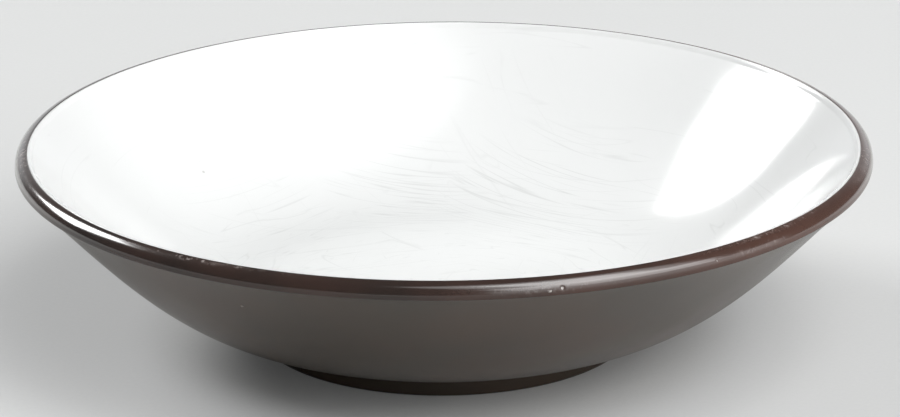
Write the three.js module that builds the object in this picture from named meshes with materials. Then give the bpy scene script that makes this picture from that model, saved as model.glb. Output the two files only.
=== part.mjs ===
// A two-tone sauce bowl in moulded melamine: a brown outer shell with a rounded rim and a foot ring,
// and a white lining moulded into it. Millimetres, +Z up, origin on the table at the bowl's axis.
import * as THREE from 'three';

// Driving dimensions of the whole bowl.
const rimDiameter = 140; // across the widest part of the rim
const bowlHeight = 33; // table to the crown of the rim

// Foot ring.
const footDiameter = 62.5; // outside of the standing face, before its edge is rounded
const footWidth = 3.2; // radial width of the foot ring at the table
const footHeight = 4.7; // table to the underside of the wall beside the ring
const footDraft = THREE.MathUtils.degToRad(5); // lean of both sides, wider at the root
const footEdgeRound = 0.6; // rounds on the standing edges
const footFillet = 1.4; // fillets where the ring leaves the underside

// Wall thicknesses of the two mouldings and the bond between them.
const shellThickness = 1.8;
const shellBaseThickness = 2.4; // brown base inside the foot ring
const liningThickness = 1.2;
const bondGap = 0.1;

// Wall curve: level at the foot, rising to its steepest under the rim.
const wallRimSlope = THREE.MathUtils.degToRad(42.5); // from level, under the rim
const footPull = 15.3; // length of the curve's handle at the foot
const rimPull = 11.4; // length of the curve's handle under the rim

// Rim: a brown round from the crown to the widest part, turned a little under, then a step back to the wall.
const rimRound = 2.05;
const rimUnderTurn = THREE.MathUtils.degToRad(14);
const rimStep = 0.4;

// White lip of the lining, on the inner side of the crown.
const lipLand = 0.3; // level part beside the brown
const lipDrop = 0.8; // crown to the crease where the lip meets the inner wall

// Facets of the revolved solids.
const facetsAround = 64;
const wallSteps = 10;
const rimSteps = 7;
const cornerSteps = 3;

const point = (radius, height) => new THREE.Vector2(radius, height);

// Points of a corner rounded off by a curve that leaves each leg `size` away from the corner.
function roundedCorner(before, corner, after, size) {
  const start = corner.clone().add(before.clone().sub(corner).setLength(size));
  const end = corner.clone().add(after.clone().sub(corner).setLength(size));
  return new THREE.QuadraticBezierCurve(start, corner, end).getPoints(cornerSteps);
}

// Foot ring section: sides leaning out to the root, from the base recess to the underside of the wall.
const recessCeiling = footHeight + shellThickness - shellBaseThickness;
const footOutside = footDiameter / 2;
const footInside = footOutside - footWidth;
const outsideRoot = footOutside + footHeight * Math.tan(footDraft);
const insideRoot = footInside - recessCeiling * Math.tan(footDraft);
const wallStart = point(outsideRoot + footFillet, footHeight);

// Rim section: the round is centred below the crown, and the brown and white meet on the crown.
const jointRadius = rimDiameter / 2 - rimRound;
const rimCentreHeight = bowlHeight - rimRound;
const rimLowerEdge = point(
  jointRadius + rimRound * Math.cos(rimUnderTurn),
  rimCentreHeight - rimRound * Math.sin(rimUnderTurn),
);
const wallEnd = point(rimLowerEdge.x - rimStep, rimLowerEdge.y);

// Outside face of the wall, from the foot ring to the rim.
const wallCurve = new THREE.CubicBezierCurve(
  wallStart,
  point(wallStart.x + footPull, wallStart.y),
  point(wallEnd.x - rimPull * Math.cos(wallRimSlope), wallEnd.y - rimPull * Math.sin(wallRimSlope)),
  wallEnd,
);

// The wall curve moved inwards by a thickness, from the axis out to the rim.
function wallFace(thickness) {
  const face = [point(0, footHeight + thickness)];
  for (let step = 0; step <= wallSteps; step += 1) {
    const along = step / wallSteps;
    const tangent = wallCurve.getTangent(along);
    face.push(wallCurve.getPoint(along).add(point(-tangent.y, tangent.x).multiplyScalar(thickness)));
  }
  return face;
}

// A face cut off where `measure` passes `limit`, ending on a point at that limit.
function cutFace(face, measure, limit) {
  const kept = face.filter((place) => measure(place) < limit);
  const last = kept[kept.length - 1];
  const next = face[kept.length];
  if (next) {
    kept.push(last.clone().lerp(next, (limit - measure(last)) / (measure(next) - measure(last))));
  }
  return kept;
}

const radiusOf = (place) => place.x;
const heightOf = (place) => place.y;

// A solid of revolution about +Z, from an outline that starts and ends on the axis.
function revolve(name, outline, material) {
  const geometry = new THREE.LatheGeometry(outline, facetsAround);
  geometry.rotateX(Math.PI / 2);
  const mesh = new THREE.Mesh(geometry, material);
  mesh.name = name;
  return mesh;
}

// Brown shell: base recess, foot ring, wall, rim round, and the seat for the lining.
function outerShell() {
  const ceiling = point(0, recessCeiling);
  const insideCorner = point(insideRoot, recessCeiling);
  const insideEdge = point(footInside, 0);
  const outsideEdge = point(footOutside, 0);
  const outsideCorner = point(outsideRoot, footHeight);
  const rimCurve = new THREE.EllipseCurve(
    jointRadius, rimCentreHeight, rimRound, rimRound, -rimUnderTurn, Math.PI / 2,
  );
  const seat = cutFace(wallFace(shellThickness), radiusOf, jointRadius);
  const outline = [
    ceiling,
    ...roundedCorner(ceiling, insideCorner, insideEdge, footFillet),
    ...roundedCorner(insideCorner, insideEdge, outsideEdge, footEdgeRound),
    ...roundedCorner(insideEdge, outsideEdge, outsideCorner, footEdgeRound),
    ...roundedCorner(outsideEdge, outsideCorner, wallStart, footFillet).slice(0, -1),
    ...wallCurve.getPoints(wallSteps),
    ...rimCurve.getPoints(rimSteps),
    ...seat.reverse(),
  ];
  const brown = new THREE.MeshStandardMaterial({ color: 0x55473f, roughness: 0.45, metalness: 0 });
  return revolve('outer_shell', outline, brown);
}

// White lining: it fills the shell's seat, carries the lip on the crown and makes the inside of the bowl.
function innerLining() {
  const outerFace = cutFace(wallFace(shellThickness + bondGap), radiusOf, jointRadius - bondGap);
  const innerThickness = shellThickness + bondGap + liningThickness;
  const innerFace = cutFace(wallFace(innerThickness), heightOf, bowlHeight - lipDrop);
  const crease = innerFace[innerFace.length - 1];
  const lipEdge = point(jointRadius - bondGap, bowlHeight);
  const landEnd = point(lipEdge.x - lipLand, bowlHeight);
  const lipCurve = new THREE.QuadraticBezierCurve(landEnd, point(crease.x, bowlHeight), crease);
  const outline = [
    ...outerFace,
    lipEdge,
    ...lipCurve.getPoints(cornerSteps),
    ...innerFace.slice(0, -1).reverse(),
  ];
  const white = new THREE.MeshStandardMaterial({ color: 0xf4f5f3, roughness: 0.15, metalness: 0 });
  return revolve('inner_lining', outline, white);
}

const bowl = new THREE.Group();
bowl.add(outerShell(), innerLining());

export default bowl;
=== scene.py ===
"""A two-tone sauce bowl in moulded melamine, on a pale table in soft studio light.

The brown shell and the white lining are turned from their sections, in metres, round the frame's +Z axis.
"""
import math

import bpy
from mathutils import Matrix, Vector


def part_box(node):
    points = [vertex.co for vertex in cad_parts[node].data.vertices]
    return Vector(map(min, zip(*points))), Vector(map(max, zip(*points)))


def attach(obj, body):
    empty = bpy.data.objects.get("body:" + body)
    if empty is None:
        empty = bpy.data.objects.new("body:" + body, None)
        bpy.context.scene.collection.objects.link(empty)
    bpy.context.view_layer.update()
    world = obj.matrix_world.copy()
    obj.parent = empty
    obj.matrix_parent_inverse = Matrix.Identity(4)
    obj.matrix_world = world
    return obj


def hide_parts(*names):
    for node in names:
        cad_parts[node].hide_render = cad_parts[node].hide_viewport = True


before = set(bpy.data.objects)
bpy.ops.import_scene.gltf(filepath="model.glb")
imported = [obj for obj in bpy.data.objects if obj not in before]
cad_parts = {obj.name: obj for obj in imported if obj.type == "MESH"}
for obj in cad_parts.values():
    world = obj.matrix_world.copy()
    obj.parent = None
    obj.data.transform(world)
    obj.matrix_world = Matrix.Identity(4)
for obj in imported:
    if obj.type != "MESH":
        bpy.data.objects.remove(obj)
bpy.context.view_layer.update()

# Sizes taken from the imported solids.
SHELL_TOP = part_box("outer_shell")[1]
RIM_RADIUS = SHELL_TOP.x
BOWL_HEIGHT = SHELL_TOP.z

# Foot ring.
FOOT_RADIUS = 0.03125
FOOT_WIDTH = 0.0032
FOOT_HEIGHT = 0.0047
FOOT_DRAFT = math.radians(5)
FOOT_EDGE_ROUND = 0.0006
FOOT_FILLET = 0.0014

# Wall thicknesses, and the curve of the wall between foot and rim.
SHELL_THICKNESS = 0.0018
SHELL_BASE_THICKNESS = 0.0024
LINING_THICKNESS = 0.0012
BOND_GAP = 0.00002
WALL_RIM_SLOPE = math.radians(42.5)
FOOT_PULL = 0.0153
RIM_PULL = 0.0114

# Rim of the shell and lip of the lining.
RIM_ROUND = 0.00205
RIM_UNDER_TURN = math.radians(14)
RIM_STEP = 0.0004
RIM_EDGE_ROUND = 0.00012
JOINT_ROUND = 0.00012
LIP_LAND = 0.0003
LIP_DROP = 0.0008
LIP_LEAN = math.radians(57)

# Steps of the turned meshes.
STEPS_AROUND = 360
WALL_STEPS = 44
RIM_STEPS = 20
LIP_STEPS = 12
CORNER_STEPS = 6
MERGE_DISTANCE = 1e-6
SHARP_ANGLE = math.radians(35)

# The section's worked-out places.
JOINT_RADIUS = RIM_RADIUS - RIM_ROUND
RIM_CENTRE_HEIGHT = BOWL_HEIGHT - RIM_ROUND
RECESS_CEILING = FOOT_HEIGHT + SHELL_THICKNESS - SHELL_BASE_THICKNESS
FOOT_INSIDE = FOOT_RADIUS - FOOT_WIDTH
OUTSIDE_ROOT = FOOT_RADIUS + FOOT_HEIGHT * math.tan(FOOT_DRAFT)
INSIDE_ROOT = FOOT_INSIDE - RECESS_CEILING * math.tan(FOOT_DRAFT)
WALL_START = Vector((OUTSIDE_ROOT + FOOT_FILLET, FOOT_HEIGHT))
RIM_LOWER_EDGE = Vector((
    JOINT_RADIUS + RIM_ROUND * math.cos(RIM_UNDER_TURN),
    RIM_CENTRE_HEIGHT - RIM_ROUND * math.sin(RIM_UNDER_TURN),
))
WALL_END = RIM_LOWER_EDGE - Vector((RIM_STEP, 0))
FLOOR_RADIUS = WALL_START.x


# Sections of the two mouldings

def curve_points(controls, steps):
    """Points of a Bezier curve of two or three legs, ends included."""
    rows = []
    for step in range(steps + 1):
        level = [Vector(place) for place in controls]
        while len(level) > 1:
            level = [a.lerp(b, step / steps) for a, b in zip(level, level[1:])]
        rows.append(level[0])
    return rows


def arc_points(centre, radius, start, end, steps):
    angles = [start + (end - start) * step / steps for step in range(steps + 1)]
    return [Vector(centre) + radius * Vector((math.cos(a), math.sin(a))) for a in angles]


def rounded_corner(before, corner, after, size):
    """Points of a corner rounded off by a curve that leaves each leg `size` away from the corner."""
    before, corner, after = Vector(before), Vector(corner), Vector(after)
    start = corner + (before - corner).normalized() * size
    end = corner + (after - corner).normalized() * size
    return curve_points([start, corner, end], CORNER_STEPS)


def wall_controls():
    lean = Vector((math.cos(WALL_RIM_SLOPE), math.sin(WALL_RIM_SLOPE)))
    return [WALL_START, WALL_START + Vector((FOOT_PULL, 0)), WALL_END - RIM_PULL * lean, WALL_END]


def wall_face(thickness):
    """The outside of the wall moved inwards by a thickness, from the floor's edge to the rim."""
    controls = wall_controls()
    places = curve_points(controls, WALL_STEPS)
    legs = [b - a for a, b in zip(controls, controls[1:])]
    tangents = curve_points(legs, WALL_STEPS)
    return [p + thickness * Vector((-t.y, t.x)).normalized() for p, t in zip(places, tangents)]


def cut_face(face, measure, limit):
    """A face cut off where `measure` passes `limit`, ending on a point at that limit."""
    kept = [place for place in face if measure(place) < limit]
    if len(kept) < len(face):
        last, following = kept[-1], face[len(kept)]
        share = (limit - measure(last)) / (measure(following) - measure(last))
        kept.append(last.lerp(following, share))
    return kept


def shell_outline():
    """Brown section from the axis under the base, round the foot ring, wall and rim, back to the axis."""
    ceiling = (0, RECESS_CEILING)
    inside_corner = (INSIDE_ROOT, RECESS_CEILING)
    inside_edge = (FOOT_INSIDE, 0)
    outside_edge = (FOOT_RADIUS, 0)
    outside_corner = (OUTSIDE_ROOT, FOOT_HEIGHT)
    seat = cut_face(wall_face(SHELL_THICKNESS), lambda place: place.x, JOINT_RADIUS)
    crown = Vector((JOINT_RADIUS, BOWL_HEIGHT))
    rim_centre = (JOINT_RADIUS, RIM_CENTRE_HEIGHT)
    rim = arc_points(rim_centre, RIM_ROUND, -RIM_UNDER_TURN, math.pi / 2, RIM_STEPS)
    return [
        Vector(ceiling),
        *rounded_corner(ceiling, inside_corner, inside_edge, FOOT_FILLET),
        *rounded_corner(inside_corner, inside_edge, outside_edge, FOOT_EDGE_ROUND),
        *rounded_corner(inside_edge, outside_edge, outside_corner, FOOT_EDGE_ROUND),
        *rounded_corner(outside_edge, outside_corner, WALL_START, FOOT_FILLET)[:-1],
        *curve_points(wall_controls(), WALL_STEPS)[:-1],
        *rounded_corner(wall_face(0)[-2], WALL_END, RIM_LOWER_EDGE, RIM_EDGE_ROUND),
        *rounded_corner(WALL_END, RIM_LOWER_EDGE, rim[1], RIM_EDGE_ROUND),
        *rim[1:-1],
        *rounded_corner(rim[-2], crown, seat[-1], JOINT_ROUND),
        *reversed(seat),
        Vector((0, FOOT_HEIGHT + SHELL_THICKNESS)),
    ]


def lining_outline():
    """White section from the axis along the shell's seat, over the lip, and back down the inside."""
    bond = SHELL_THICKNESS + BOND_GAP
    outer = cut_face(wall_face(bond), lambda place: place.x, JOINT_RADIUS - BOND_GAP)
    thickness = bond + LINING_THICKNESS
    inner = cut_face(wall_face(thickness), lambda place: place.y, BOWL_HEIGHT - LIP_DROP)
    crease = inner[-1]
    lip_edge = Vector((JOINT_RADIUS - BOND_GAP, BOWL_HEIGHT))
    land_end = lip_edge - Vector((LIP_LAND, 0))
    lip_turn = Vector((crease.x + LIP_DROP / math.tan(LIP_LEAN), BOWL_HEIGHT))
    return [
        Vector((0, FOOT_HEIGHT + bond)),
        *outer,
        *rounded_corner(outer[-1], lip_edge, land_end, JOINT_ROUND),
        *curve_points([land_end, lip_turn, crease], LIP_STEPS),
        *reversed(inner[:-1]),
        Vector((0, FOOT_HEIGHT + thickness)),
    ]


# Turning the sections into pieces

def turned_piece(name, outline):
    """Extrudes one point along the outline, spins it round the axis and closes the seam and poles."""
    bpy.ops.object.select_all(action="DESELECT")
    bpy.ops.mesh.primitive_plane_add(size=2 * RIM_RADIUS, location=(0, 0, 0))
    piece = bpy.context.object
    piece.name = piece.data.name = name
    bpy.ops.object.mode_set(mode="EDIT")
    bpy.ops.mesh.select_all(action="SELECT")
    bpy.ops.mesh.merge(type="CENTER")
    bpy.ops.transform.translate(value=(outline[0].x, 0, outline[0].y))
    for here, following in zip(outline, outline[1:]):
        move = following - here
        bpy.ops.mesh.extrude_vertices_move(TRANSFORM_OT_translate={"value": (move.x, 0, move.y)})
    bpy.ops.mesh.select_all(action="SELECT")
    bpy.ops.mesh.spin(steps=STEPS_AROUND, angle=math.tau, center=(0, 0, 0), axis=(0, 0, 1))
    bpy.ops.mesh.select_all(action="SELECT")
    bpy.ops.mesh.remove_doubles(threshold=MERGE_DISTANCE)
    bpy.ops.mesh.normals_make_consistent(inside=False)
    bpy.ops.object.mode_set(mode="OBJECT")
    bpy.ops.object.shade_smooth_by_angle(angle=SHARP_ANGLE)
    return piece


# Node helpers

def add_node(tree, kind, inputs=None, **settings):
    """A node with its settings, and each input set to a value or linked from an output socket."""
    node = tree.nodes.new(kind)
    for key, value in settings.items():
        setattr(node, key, value)
    for key, value in (inputs or {}).items():
        if isinstance(value, bpy.types.NodeSocket):
            tree.links.new(value, node.inputs[key])
        else:
            node.inputs[key].default_value = value
    return node


def maths(tree, operation, first, second=0.0, clamp=False):
    node = add_node(tree, "ShaderNodeMath", {0: first, 1: second}, operation=operation, use_clamp=clamp)
    return node.outputs[0]


def ramp(tree, value, between, to=(0.0, 1.0)):
    """A value carried smoothly from one range to another, and held at the ends of the second."""
    inputs = {"Value": value}
    inputs["From Min"], inputs["From Max"] = between
    inputs["To Min"], inputs["To Max"] = to
    return add_node(tree, "ShaderNodeMapRange", inputs, interpolation_type="SMOOTHSTEP").outputs["Result"]


def mix_colour(tree, share, first, second):
    """The first colour, turning into the second as the share rises to 1."""
    return add_node(tree, "ShaderNodeMix", {0: share, 6: first, 7: second}, data_type="RGBA").outputs[2]


def noise(tree, place, scale, detail=2.0, roughness=0.5):
    inputs = {"Vector": place, "Scale": scale, "Detail": detail, "Roughness": roughness}
    return add_node(tree, "ShaderNodeTexNoise", inputs).outputs[0]


def bump(tree, height, strength, distance):
    inputs = {"Height": height, "Strength": strength, "Distance": distance}
    return add_node(tree, "ShaderNodeBump", inputs).outputs[0]


def new_group(name, inputs, outputs):
    """A shader group with its named sockets, and its input and output nodes."""
    group = bpy.data.node_groups.new(name, "ShaderNodeTree")
    for socket_name, socket_type, value in inputs:
        socket = group.interface.new_socket(socket_name, in_out="INPUT", socket_type=socket_type)
        if value is not None:
            socket.default_value = value
    for socket_name, socket_type in outputs:
        group.interface.new_socket(socket_name, in_out="OUTPUT", socket_type=socket_type)
    return group, group.nodes.new("NodeGroupInput"), group.nodes.new("NodeGroupOutput")


def place_group(tree, group, inputs):
    return add_node(tree, "ShaderNodeGroup", inputs, node_tree=group)


# Shared surface effects

# Scratches: the noise level that a line follows, and the noise that breaks the lines up.
LINE_LEVEL = 0.5
LINE_NOISE = {"Scale": 1.0, "Detail": 1.0, "Roughness": 0.4, "Distortion": 0.15}
BREAK_NOISE = {"Scale": 1.7, "Detail": 2.0, "Roughness": 0.6}
BREAK_LEVEL = 0.72
BREAK_LEVEL_DROP = 0.45
BREAK_SOFTNESS = 0.1

# Specks: the smallest one as a share of the given size, and how soon an edge turns solid.
SMALLEST_SPECK = 0.4
SPECK_EDGE = 3.0


def bowl_places_group():
    """Distance round the bowl, measured at the rim, and out from its axis. The seam is at the back."""
    group, given, made = new_group(
        "Bowl places",
        [("Place", "NodeSocketVector", None)],
        [("Around", "NodeSocketFloat"), ("Out", "NodeSocketFloat")],
    )
    x, y, _ = add_node(group, "ShaderNodeSeparateXYZ", {0: given.outputs["Place"]}).outputs
    angle = maths(group, "ARCTAN2", x, maths(group, "MULTIPLY", y, -1.0))
    squares = maths(group, "ADD", maths(group, "POWER", x, 2.0), maths(group, "POWER", y, 2.0))
    group.links.new(maths(group, "MULTIPLY", angle, RIM_RADIUS), made.inputs["Around"])
    group.links.new(maths(group, "SQRT", squares), made.inputs["Out"])
    return group


def scratches_group():
    """Long thin lines along one direction: one level of a stretched noise, broken up along its length."""
    group, given, made = new_group(
        "Scratches",
        [
            ("Place", "NodeSocketVector", None),
            ("Turn", "NodeSocketFloat", 0.0),
            ("Length", "NodeSocketFloat", 0.04),
            ("Spacing", "NodeSocketFloat", 0.003),
            ("Line", "NodeSocketFloat", 0.02),
            ("Seed", "NodeSocketFloat", 0.0),
            ("Share", "NodeSocketFloat", 0.5),
        ],
        [("Mask", "NodeSocketFloat")],
    )
    g = given.outputs
    turn = {"Vector": g["Place"], "Angle": g["Turn"]}
    turned = add_node(group, "ShaderNodeVectorRotate", turn, rotation_type="Z_AXIS").outputs[0]
    x, y, _ = add_node(group, "ShaderNodeSeparateXYZ", {0: turned}).outputs
    along = maths(group, "DIVIDE", x, g["Length"])
    across = maths(group, "DIVIDE", y, g["Spacing"])
    stretched = add_node(group, "ShaderNodeCombineXYZ", {0: along, 1: across, 2: g["Seed"]}).outputs[0]
    lines = add_node(group, "ShaderNodeTexNoise", {"Vector": stretched, **LINE_NOISE}).outputs[0]
    away = maths(group, "ABSOLUTE", maths(group, "SUBTRACT", lines, LINE_LEVEL))
    line = maths(group, "SUBTRACT", 1.0, maths(group, "DIVIDE", away, g["Line"]), clamp=True)
    breaks = add_node(group, "ShaderNodeTexNoise", {"Vector": stretched, **BREAK_NOISE}).outputs[0]
    bar = maths(group, "SUBTRACT", BREAK_LEVEL, maths(group, "MULTIPLY", g["Share"], BREAK_LEVEL_DROP))
    above = maths(group, "SUBTRACT", breaks, bar)
    present = maths(group, "DIVIDE", above, BREAK_SOFTNESS, clamp=True)
    group.links.new(maths(group, "MULTIPLY", line, present), made.inputs["Mask"])
    return group


def specks_group():
    """Scattered round specks: the middles of a share of the cells of a Voronoi pattern."""
    group, given, made = new_group(
        "Specks",
        [
            ("Place", "NodeSocketVector", None),
            ("Scale", "NodeSocketFloat", 400.0),
            ("Size", "NodeSocketFloat", 0.2),
            ("Share", "NodeSocketFloat", 0.1),
        ],
        [("Mask", "NodeSocketFloat")],
    )
    g = given.outputs
    cells = add_node(group, "ShaderNodeTexVoronoi", {"Vector": g["Place"], "Scale": g["Scale"]}).outputs
    chance = add_node(group, "ShaderNodeSeparateColor", {0: cells["Color"]}).outputs
    chosen = maths(group, "LESS_THAN", chance[0], g["Share"])
    size = maths(group, "MULTIPLY", g["Size"], maths(group, "ADD", SMALLEST_SPECK, chance[1]))
    spot = maths(group, "SUBTRACT", 1.0, maths(group, "DIVIDE", cells["Distance"], size), clamp=True)
    solid = maths(group, "MULTIPLY", spot, SPECK_EDGE, clamp=True)
    group.links.new(maths(group, "MULTIPLY", solid, chosen), made.inputs["Mask"])
    return group


BOWL_PLACES = bowl_places_group()
SCRATCHES = scratches_group()
SPECKS = specks_group()


# Materials

MELAMINE_IOR = 1.55
# The range that most of a noise lies in.
NOISE_SPREAD = (0.3, 0.7)


def new_material(name, ior, specular):
    """A material with its Principled BSDF, and the Object coordinates that its patterns read."""
    material = bpy.data.materials.new(name)
    material.use_nodes = True
    tree = material.node_tree
    shader = tree.nodes["Principled BSDF"]
    shader.inputs["IOR"].default_value = ior
    shader.inputs["Specular IOR Level"].default_value = specular
    place = add_node(tree, "ShaderNodeTexCoord").outputs["Object"]
    return material, tree, shader, place


def add_polish(tree, shader, weight, ior, roughness):
    """A clear gloss over the surface, as strong as the weight at each place."""
    tree.links.new(weight, shader.inputs["Coat Weight"])
    shader.inputs["Coat IOR"].default_value = ior
    shader.inputs["Coat Roughness"].default_value = roughness


def add_specks(tree, place, scale, size, share, strength):
    inputs = {"Place": place, "Scale": scale, "Size": size, "Share": share}
    return maths(tree, "MULTIPLY", place_group(tree, SPECKS, inputs).outputs[0], strength)


# Outside wall and base.
WALL_BROWN = (0.041, 0.030, 0.021, 1)
WALL_RED_BROWN = (0.053, 0.033, 0.022, 1)
WALL_SPECK_COLOUR = (0.36, 0.34, 0.31, 1)
WALL_SPECULAR = 0.51
WALL_ROUGHNESS = (0.21, 0.27)
WALL_CLOUD_SCALE = 38.0
WALL_CLOUD_EDGES = (0.40, 0.66)
WALL_SHEEN_SCALE = 60.0
WALL_GRAIN_SCALE = 220.0
WALL_GRAIN_STRENGTH = 0.05
WALL_GRAIN_DEPTH = 0.00004


def satin_brown():
    """The outside wall and base: satin grey-brown with faint red clouding and a few pale specks."""
    material, tree, shader, place = new_material("satin_brown_melamine", MELAMINE_IOR, WALL_SPECULAR)
    clouds = ramp(tree, noise(tree, place, WALL_CLOUD_SCALE, detail=3.0), WALL_CLOUD_EDGES)
    body = mix_colour(tree, clouds, WALL_BROWN, WALL_RED_BROWN)
    specks = add_specks(tree, place, scale=260.0, size=0.08, share=0.03, strength=0.45)
    colour = mix_colour(tree, specks, body, WALL_SPECK_COLOUR)
    tree.links.new(colour, shader.inputs["Base Color"])
    sheen = noise(tree, place, WALL_SHEEN_SCALE, detail=3.0)
    tree.links.new(ramp(tree, sheen, NOISE_SPREAD, WALL_ROUGHNESS), shader.inputs["Roughness"])
    grain = noise(tree, place, WALL_GRAIN_SCALE)
    uneven = bump(tree, grain, WALL_GRAIN_STRENGTH, WALL_GRAIN_DEPTH)
    tree.links.new(uneven, shader.inputs["Normal"])
    return material


# Rim: painted light runs it from a shaded dark brown on the left to a lit red brown on the right, and its
# polish starts at the widest line.
RIM_SHADED_DARK_BROWN = (0.026, 0.017, 0.014, 1)
RIM_LIT_RED_BROWN = (0.080, 0.039, 0.029, 1)
# The pale of rubbing marks, which also paints a sheen of reflection and highlight where the wear table
# puts it.
RUBBED_AND_SHEEN_COLOUR = (0.40, 0.35, 0.33, 1)
CHIPPED_COLOUR = (0.66, 0.62, 0.59, 1)
RIM_IOR = 1.6
RIM_SPECULAR = 0.35
RIM_ROUGHNESS = (0.13, 0.18)
RIM_GLOSS_SCALE = 160.0
PAINTED_LIGHT_SPAN = (-0.2 * RIM_RADIUS, 0.95 * RIM_RADIUS)
PAINTED_LIGHT_SHARES = (0.1, 0.9)
RED_CLOUD_SCALE = 70.0
RED_CLOUD_SHARES = (-0.12, 0.2)
POLISH_SPAN = (RIM_CENTRE_HEIGHT, RIM_CENTRE_HEIGHT + 0.3 * RIM_ROUND)
POLISH_WEIGHTS = (0.0, 0.9)
POLISH_ROUGHNESS = 0.15
FLECK_SCALE = 1300.0
FLECK_EDGES = (0.53, 0.67)
HAZE_SCALE = 500.0
HAZE_EDGES = (0.35, 0.75)
# This share of pale reaches high enough to paint a reflection at the rim's left end.
HAZE_AND_SHEEN_SHARES = (0.0, 0.35)
RUBBED_AND_SHEEN_STRENGTH = 0.7
RUBBED_ROUGHNESS = 0.3
RUBBED_BUMP = 0.2
RUBBED_DEPTH = 0.00003
RAGGED_SCALE = 2600.0
RAGGED_SHARES = (-0.22, 0.22)
FLAKE_EDGES = (0.32, 0.62)


def polished_brown():
    """The rim: lighter and redder to the right as painted light, buffed above its widest line, and pale
    at rubbing marks, chips and patches of painted sheen.
    """
    material, tree, shader, place = new_material("polished_brown_rim", RIM_IOR, RIM_SPECULAR)
    scuff_and_sheen_share = add_node(tree, "ShaderNodeAttribute", attribute_name="scuffed_and_sheen").outputs["Fac"]
    chipped = add_node(tree, "ShaderNodeAttribute", attribute_name="chipped").outputs["Fac"]
    flecks = ramp(tree, noise(tree, place, FLECK_SCALE, detail=3.0, roughness=0.6), FLECK_EDGES)
    haze_and_sheen = ramp(tree, noise(tree, place, HAZE_SCALE), HAZE_EDGES, HAZE_AND_SHEEN_SHARES)
    # Pale flecks and a soft pale cloud: real rubbing marks, and painted reflection and highlight at the
    # rim's left end and high on its right.
    rubbed_and_sheen = maths(tree, "MULTIPLY", maths(tree, "ADD", flecks, haze_and_sheen), scuff_and_sheen_share)
    specks = add_specks(tree, place, scale=300.0, size=0.10, share=0.06, strength=0.5)
    pale = maths(tree, "MAXIMUM", rubbed_and_sheen, specks, clamp=True)
    ragged = ramp(tree, noise(tree, place, RAGGED_SCALE), NOISE_SPREAD, RAGGED_SHARES)
    flake = ramp(tree, maths(tree, "ADD", chipped, ragged), FLAKE_EDGES)

    x, _, z = add_node(tree, "ShaderNodeSeparateXYZ", {0: place}).outputs
    clouds = noise(tree, place, RED_CLOUD_SCALE, detail=3.0)
    red_clouds = ramp(tree, clouds, NOISE_SPREAD, RED_CLOUD_SHARES)
    # Painted light: the ramp along X makes the rim lighter and redder towards the right, as if lit from
    # that side; the clouds are its own uneven tone.
    painted_light_and_redness = maths(tree, "ADD", ramp(tree, x, PAINTED_LIGHT_SPAN, PAINTED_LIGHT_SHARES), red_clouds, clamp=True)
    body = mix_colour(tree, painted_light_and_redness, RIM_SHADED_DARK_BROWN, RIM_LIT_RED_BROWN)
    scuffed_and_sheen = mix_colour(tree, maths(tree, "MULTIPLY", pale, RUBBED_AND_SHEEN_STRENGTH), body, RUBBED_AND_SHEEN_COLOUR)
    colour = mix_colour(tree, maths(tree, "MULTIPLY", flake, chipped), scuffed_and_sheen, CHIPPED_COLOUR)
    tree.links.new(colour, shader.inputs["Base Color"])

    gloss = ramp(tree, noise(tree, place, RIM_GLOSS_SCALE, detail=3.0), NOISE_SPREAD, RIM_ROUGHNESS)
    dulled = maths(tree, "MULTIPLY", maths(tree, "MAXIMUM", pale, flake), RUBBED_ROUGHNESS)
    tree.links.new(maths(tree, "ADD", gloss, dulled), shader.inputs["Roughness"])
    add_polish(tree, shader, ramp(tree, z, POLISH_SPAN, POLISH_WEIGHTS), RIM_IOR, POLISH_ROUGHNESS)
    dented = bump(tree, maths(tree, "MULTIPLY", pale, -1.0), RUBBED_BUMP, RUBBED_DEPTH)
    tree.links.new(dented, shader.inputs["Normal"])
    return material


# Knife scratches in the lining. Each set of lines has the direction they run in, their length, spacing,
# line width, seed and share, then the middle of the worn patch, its reach and the strength of its grey.
SCRATCH_SETS = (
    (-35, 0.055, 0.0014, 0.026, 1.3, 0.72, (0.014, 0.035), 0.020, 1.0),
    (-27, 0.045, 0.0020, 0.020, 7.9, 0.60, (0.020, 0.030), 0.022, 0.8),
    (-4, 0.050, 0.0012, 0.030, 3.1, 0.75, (-0.007, 0.039), 0.016, 0.9),
    (47, 0.040, 0.0014, 0.020, 5.7, 0.60, (-0.031, 0.026), 0.018, 0.7),
    (20, 0.045, 0.0022, 0.016, 6.3, 0.55, (-0.020, 0.010), 0.030, 0.6),
    (-62, 0.030, 0.0045, 0.012, 9.2, 0.50, (0.008, 0.047), 0.020, 0.3),
    (86, 0.028, 0.0060, 0.010, 12.4, 0.45, (-0.006, 0.045), 0.018, 0.3),
    (12, 0.045, 0.0050, 0.010, 2.2, 0.45, (0.0, 0.0), 0.060, 0.6),
    (-48, 0.040, 0.0060, 0.009, 8.1, 0.45, (0.0, 0.0), 0.060, 0.6),
    (74, 0.035, 0.0055, 0.010, 4.9, 0.40, (0.0, -0.010), 0.055, 0.6),
)
# A set keeps its full strength over this share of its reach.
PATCH_CORE = 0.5
# Lines that run round the bowl, and their strength on the floor and at the rim.
RING_LINES = {"Length": 0.05, "Spacing": 0.003, "Line": 0.012, "Seed": 4.4, "Share": 0.5}
RING_STRENGTHS = (0.7, 0.3)
SCRATCH_STRENGTH = 0.28

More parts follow.
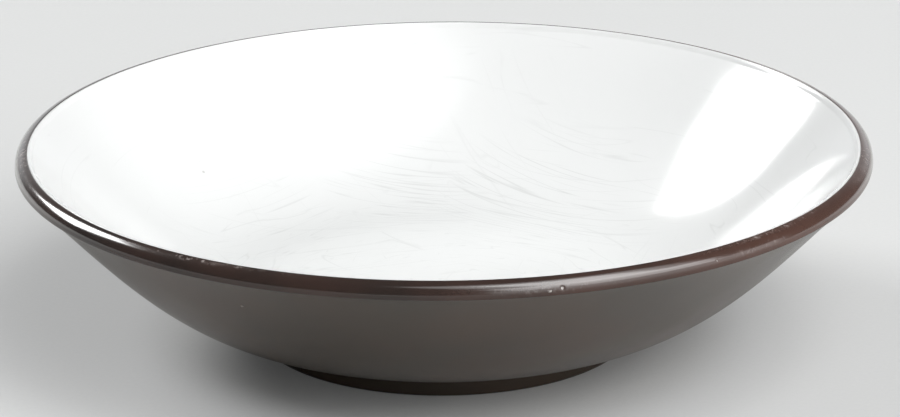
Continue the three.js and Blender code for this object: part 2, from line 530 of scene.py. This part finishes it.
# Lining: dulled on the flat floor, fresher and glossier up the wall.
FRESH_WHITES = ((0.882, 0.892, 0.887, 1), (0.902, 0.912, 0.907, 1))
DULLED_WHITES = ((0.792, 0.804, 0.798, 1), (0.832, 0.844, 0.838, 1))
FRESH_CLOUD_SCALE = 30.0
DULLED_CLOUD_SCALE = 45.0
SCRATCH_GREY = (0.42, 0.43, 0.42, 1)
LINING_SPECK_COLOUR = (0.45, 0.44, 0.42, 1)
LINING_SPECULAR = 0.15
LINING_ROUGHNESS = (0.24, 0.12)
ROUGH_SPAN = (FLOOR_RADIUS, 0.8 * RIM_RADIUS)
WALL_SPAN = (FLOOR_RADIUS, 0.75 * RIM_RADIUS)
LINING_POLISH_WEIGHTS = (0.0, 0.6)
LINING_POLISH_ROUGHNESS = 0.12


def scratch_set(tree, place, direction, length, spacing, line, seed, share, middle, reach, strength):
    """One set of lines, fading out at the reach of its patch."""
    lines = place_group(tree, SCRATCHES, {
        "Place": place, "Turn": -math.radians(direction), "Length": length, "Spacing": spacing,
        "Line": line, "Seed": seed, "Share": share,
    }).outputs[0]
    flattening = {0: place, 1: (1, 1, 0)}
    flat = add_node(tree, "ShaderNodeVectorMath", flattening, operation="MULTIPLY").outputs[0]
    apart = add_node(tree, "ShaderNodeVectorMath", {0: flat, 1: (*middle, 0)}, operation="DISTANCE")
    fade = ramp(tree, apart.outputs["Value"], (PATCH_CORE * reach, reach), (strength, 0.0))
    return maths(tree, "MULTIPLY", lines, fade)


def lining_marks(tree, place, around, out):
    """All the scratches: the sets in their patches, and the lines that run round the bowl."""
    marks = scratch_set(tree, place, *SCRATCH_SETS[0])
    for values in SCRATCH_SETS[1:]:
        marks = maths(tree, "MAXIMUM", marks, scratch_set(tree, place, *values))
    unrolled = add_node(tree, "ShaderNodeCombineXYZ", {0: around, 1: out}).outputs[0]
    rings = place_group(tree, SCRATCHES, {"Place": unrolled, **RING_LINES}).outputs[0]
    ring_strength = ramp(tree, out, (FLOOR_RADIUS, RIM_RADIUS), RING_STRENGTHS)
    return maths(tree, "MAXIMUM", marks, maths(tree, "MULTIPLY", rings, ring_strength))


def gloss_white():
    """The lining: gloss white, scratched grey by cutlery, and dulled on the flat floor."""
    material, tree, shader, place = new_material("gloss_white_melamine", MELAMINE_IOR, LINING_SPECULAR)
    bowl = place_group(tree, BOWL_PLACES, {"Place": place}).outputs
    around, out = bowl["Around"], bowl["Out"]
    fresh = mix_colour(tree, noise(tree, place, FRESH_CLOUD_SCALE, detail=3.0), *FRESH_WHITES)
    dulled = mix_colour(tree, noise(tree, place, DULLED_CLOUD_SCALE, detail=3.0), *DULLED_WHITES)
    white = mix_colour(tree, ramp(tree, out, WALL_SPAN, (1.0, 0.0)), fresh, dulled)
    marks = maths(tree, "MULTIPLY", lining_marks(tree, place, around, out), SCRATCH_STRENGTH)
    marked = mix_colour(tree, marks, white, SCRATCH_GREY)
    specks = add_specks(tree, place, scale=120.0, size=0.035, share=0.06, strength=0.5)
    colour = mix_colour(tree, specks, marked, LINING_SPECK_COLOUR)
    tree.links.new(colour, shader.inputs["Base Color"])
    tree.links.new(ramp(tree, out, ROUGH_SPAN, LINING_ROUGHNESS), shader.inputs["Roughness"])
    polish = ramp(tree, out, WALL_SPAN, LINING_POLISH_WEIGHTS)
    add_polish(tree, shader, polish, MELAMINE_IOR, LINING_POLISH_ROUGHNESS)
    return material


# Wear and painted sheen on the rim. Turn is in degrees round from the front towards the right, seen from
# above, and lift is in degrees up the rim's round from its widest line. A patch of scuffing has its turn
# and its spread round the rim, its lift and its spread up the round, then its strength; the first, at the
# left end, and the one high on the round at the right are partly painted reflection and highlight. A chip
# has its turn, lift, size and depth.
SCUFFS_AND_SHEENS = (
    (-85, 9, 60, 32, 1.0),
    (-47, 5, 70, 9, 0.2),
    (-34, 4, 68, 10, 0.9),
    (-27, 6, 74, 8, 0.6),
    (12, 7, 18, 14, 0.25),
    (48, 9, 72, 9, 0.9),
    (44, 4, 26, 12, 0.4),
    (80, 8, 62, 24, 0.7),
    (150, 20, 50, 25, 0.5),
)
CHIPS = ((14.4, 17, 0.00055, 0.00013), (13.0, 9, 0.0004, 0.00006), (36, 20, 0.0003, 0.00005))
# Reaches round a chip, as multiples of its size: where faces are cut finer, twice over, and where it is
# marked for the material.
CHIP_CUT_REACHES = (4, 2.5)
CHIP_CUTS = 2
CHIP_MARK_REACH = 0.8


def rim_place(turn, lift):
    """A point on the rim's round, `turn` degrees from the front and `lift` degrees up from the widest."""
    out = JOINT_RADIUS + RIM_ROUND * math.cos(math.radians(lift))
    up = RIM_CENTRE_HEIGHT + RIM_ROUND * math.sin(math.radians(lift))
    return Vector((out * math.sin(math.radians(turn)), -out * math.cos(math.radians(turn)), up))


def press_chip(shell, turn, lift, size, depth):
    """Cuts the faces round a place on the rim finer, then pushes that place in with a soft edge."""
    centre = rim_place(turn, lift)
    inwards = Vector((-math.sin(math.radians(turn)), math.cos(math.radians(turn)), 0))
    for reach in CHIP_CUT_REACHES:
        bpy.ops.object.mode_set(mode="EDIT")
        bpy.ops.mesh.select_all(action="DESELECT")
        bpy.ops.object.mode_set(mode="OBJECT")
        for face in shell.data.polygons:
            face.select = (face.center - centre).length < reach * size
        bpy.ops.object.mode_set(mode="EDIT")
        bpy.ops.mesh.subdivide(number_cuts=CHIP_CUTS)
    bpy.ops.mesh.select_all(action="DESELECT")
    bpy.ops.object.mode_set(mode="OBJECT")
    nearest = min(shell.data.vertices, key=lambda vertex: (vertex.co - centre).length)
    nearest.select = True
    bpy.ops.object.mode_set(mode="EDIT")
    bpy.ops.mesh.select_mode(type="VERT")
    bpy.ops.transform.translate(
        value=depth * inwards, use_proportional_edit=True,
        proportional_edit_falloff="SMOOTH", proportional_size=size,
    )
    bpy.ops.object.mode_set(mode="OBJECT")


def scuff_and_sheen_at(turn, lift):
    """How much scuffing and painted sheen the rim has at a place, 0 to 1."""
    total = 0.0
    for scuff_turn, turn_spread, scuff_lift, lift_spread, strength in SCUFFS_AND_SHEENS:
        off = ((turn - scuff_turn) / turn_spread) ** 2 + ((lift - scuff_lift) / lift_spread) ** 2
        total += strength * math.exp(-off)
    return min(1.0, total)


def mark_wear_and_sheen(shell):
    """Writes where the rim has scuffing and painted sheen, and where it is chipped, to the mesh, for its
    material.
    """
    scuffed_and_sheen = shell.data.attributes.new("scuffed_and_sheen", "FLOAT", "POINT")
    chipped = shell.data.attributes.new("chipped", "FLOAT", "POINT")
    chips = [(rim_place(turn, lift), CHIP_MARK_REACH * size) for turn, lift, size, depth in CHIPS]
    for vertex, scuff_and_sheen_value, chip in zip(shell.data.vertices, scuffed_and_sheen.data, chipped.data):
        turn = math.degrees(math.atan2(vertex.co.x, -vertex.co.y))
        out = math.hypot(vertex.co.x, vertex.co.y) - JOINT_RADIUS
        lift = math.degrees(math.atan2(vertex.co.z - RIM_CENTRE_HEIGHT, out))
        scuff_and_sheen_value.value = scuff_and_sheen_at(turn, lift)
        chip.value = max(max(0.0, 1 - (vertex.co - centre).length / reach) for centre, reach in chips)


def make_shell():
    shell = turned_piece("brown_shell", shell_outline())
    for chip in CHIPS:
        press_chip(shell, *chip)
    mark_wear_and_sheen(shell)
    shell.data.materials.append(satin_brown())
    shell.data.materials.append(polished_brown())
    for face in shell.data.polygons:
        out = math.hypot(face.center.x, face.center.y)
        on_rim = face.center.z > RIM_LOWER_EDGE.y and out > JOINT_RADIUS - RIM_EDGE_ROUND
        face.material_index = int(on_rim)
    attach(shell, "root")
    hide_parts("outer_shell")


def make_lining():
    lining = turned_piece("white_lining", lining_outline())
    lining.data.materials.append(gloss_white())
    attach(lining, "root")
    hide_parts("inner_lining")


# Table, light and camera

# The pale that the camera sees all round.
SEEN_LEVEL = 0.77
SEEN_COLOUR = (0.97, 0.985, 1.0, 1)

TABLE_SIZE = 6.0
TABLE_SKIRT = 0.02
PAPER_COLOURS = ((0.715, 0.721, 0.712, 1), (0.765, 0.771, 0.761, 1))
PAPER_IOR = 1.45
PAPER_SPECULAR = 0.3
PAPER_ROUGHNESS = 0.7
PAPER_GRAIN_SCALE = 1400.0
# Distances from the axis over which the table fades to that pale, and over which its shadow is lifted,
# with the share of pale at each end of the lift.
FADE_SPAN = (0.19, 0.42)
SHADOW_SPAN = (0.039, 0.054)
SHADOW_LIFTS = (0.04, 0.26)


def table_paper():
    """Pale paper. For the camera alone, its shadow is lifted a little and it fades to a plain pale."""
    material, tree, shader, place = new_material("pale_table", PAPER_IOR, PAPER_SPECULAR)
    paper = mix_colour(tree, noise(tree, place, PAPER_GRAIN_SCALE), *PAPER_COLOURS)
    tree.links.new(paper, shader.inputs["Base Color"])
    shader.inputs["Roughness"].default_value = PAPER_ROUGHNESS
    away = add_node(tree, "ShaderNodeVectorMath", {0: place}, operation="LENGTH").outputs["Value"]
    by_camera = add_node(tree, "ShaderNodeLightPath").outputs["Is Camera Ray"]
    lift = ramp(tree, away, SHADOW_SPAN, SHADOW_LIFTS)
    fade = maths(tree, "MAXIMUM", lift, ramp(tree, away, FADE_SPAN))
    faded = maths(tree, "MULTIPLY", fade, by_camera)
    pale = add_node(tree, "ShaderNodeEmission", {"Color": SEEN_COLOUR, "Strength": SEEN_LEVEL}).outputs[0]
    surface = add_node(tree, "ShaderNodeMixShader", {0: faded, 1: shader.outputs[0], 2: pale}).outputs[0]
    tree.links.new(surface, tree.nodes["Material Output"].inputs["Surface"])
    return material


def make_table():
    bpy.ops.object.select_all(action="DESELECT")
    bpy.ops.mesh.primitive_plane_add(size=TABLE_SIZE, location=(0, 0, 0))
    table = bpy.context.object
    table.name = "table"
    bpy.ops.object.mode_set(mode="EDIT")
    bpy.ops.mesh.extrude_region_move(TRANSFORM_OT_translate={"value": (0, 0, -TABLE_SKIRT)})
    bpy.ops.mesh.select_all(action="SELECT")
    bpy.ops.mesh.normals_make_consistent(inside=False)
    bpy.ops.object.mode_set(mode="OBJECT")
    table.data.materials.append(table_paper())


# Soft boxes: name, degrees round from +X, degrees up from the table, distance, width, height and power.
SOFT_BOXES = (
    ("overhead_box", -42, 58, 1.72, 0.85, 0.93, 8.9),
    ("overhead_screen", -42, 57, 1.80, 1.59, 1.68, 12.4),
    ("front_right_box", -44, 33, 1.36, 1.41, 0.59, 7.2),
    ("low_box", -36, 13, 1.95, 3.45, 0.87, 11.0),
    ("left_back_box", 140, 33, 2.20, 0.94, 0.82, 28.5),
)

# Dim room, and the pale wall at its back. The wall comes in over a range of a direction's Y, and goes out
# over a range of its Z.
ROOM_LEVEL = 0.09
BACK_WALL_LEVEL = 0.65
BACK_WALL_SIDES = (0.72, 0.95)
BACK_WALL_TOP = (0.15, 0.45)


def soft_box(name, azimuth, elevation, distance, width, height, power):
    """A rectangular lamp that faces the foot of the bowl."""
    level = distance * math.cos(math.radians(elevation))
    place = Vector((
        level * math.cos(math.radians(azimuth)),
        level * math.sin(math.radians(azimuth)),
        distance * math.sin(math.radians(elevation)),
    ))
    lamp = bpy.data.lights.new(name, "AREA")
    lamp.shape = "RECTANGLE"
    lamp.size, lamp.size_y = width, height
    lamp.energy = power
    box = bpy.data.objects.new(name, lamp)
    bpy.context.scene.collection.objects.link(box)
    box.location = place
    box.rotation_euler = (-place).to_track_quat("-Z", "Y").to_euler()


def make_studio():
    """A dim room with a pale wall low at the back.

    The camera alone sees the room as pale all round, so the gloss of the rim still mirrors a dim room.
    """
    world = bpy.data.worlds.new("studio")
    world.use_nodes = True
    tree = world.node_tree
    direction = add_node(tree, "ShaderNodeTexCoord").outputs["Generated"]
    _, back, up = add_node(tree, "ShaderNodeSeparateXYZ", {0: direction}).outputs
    at_back = ramp(tree, back, BACK_WALL_SIDES)
    down_low = ramp(tree, up, BACK_WALL_TOP, (BACK_WALL_LEVEL, 0.0))
    room = maths(tree, "ADD", maths(tree, "MULTIPLY", at_back, down_low), ROOM_LEVEL)
    by_camera = add_node(tree, "ShaderNodeLightPath").outputs["Is Camera Ray"]
    level = maths(tree, "MAXIMUM", room, maths(tree, "MULTIPLY", by_camera, SEEN_LEVEL))
    background = tree.nodes["Background"]
    background.inputs["Color"].default_value = SEEN_COLOUR
    tree.links.new(level, background.inputs["Strength"])
    bpy.context.scene.world = world


def make_light():
    for values in SOFT_BOXES:
        soft_box(*values)
    make_studio()
    bpy.context.scene.view_settings.view_transform = "Standard"


# Camera: the photograph's viewing angle. Swing, nod and roll are small turns in radians, and the focal
# length is for a frame of the width given.
CAMERA_DISTANCE = 0.68
CAMERA_ELEVATION = math.radians(20.6)
CAMERA_AIM = Vector((0, 0, 0.015))
CAMERA_SWING = 0.0014
CAMERA_NOD = 0.0083
CAMERA_ROLL = -0.0074
SENSOR_WIDTH = 36.0
FOCAL_PIXELS = 4087.0
FRAME_PIXELS = 900.0


def make_camera():
    place = CAMERA_DISTANCE * Vector((0, -math.cos(CAMERA_ELEVATION), math.sin(CAMERA_ELEVATION)))
    ahead = (CAMERA_AIM - place).normalized()
    right = Vector((1, 0, 0))
    ahead = (ahead + CAMERA_SWING * right + CAMERA_NOD * right.cross(ahead)).normalized()
    right = ahead.cross(Vector((0, 0, 1))).normalized()
    up = right.cross(ahead)
    turned_right = math.cos(CAMERA_ROLL) * right + math.sin(CAMERA_ROLL) * up
    turned_up = math.cos(CAMERA_ROLL) * up - math.sin(CAMERA_ROLL) * right
    data = bpy.data.cameras.new("camera")
    data.sensor_width = SENSOR_WIDTH
    data.lens = FOCAL_PIXELS * SENSOR_WIDTH / FRAME_PIXELS
    camera = bpy.data.objects.new("camera", data)
    bpy.context.scene.collection.objects.link(camera)
    columns = Matrix((turned_right, turned_up, -ahead)).transposed()
    camera.matrix_world = Matrix.Translation(place) @ columns.to_4x4()
    bpy.context.scene.camera = camera


make_camera()
make_shell()
make_lining()
make_table()
make_light()
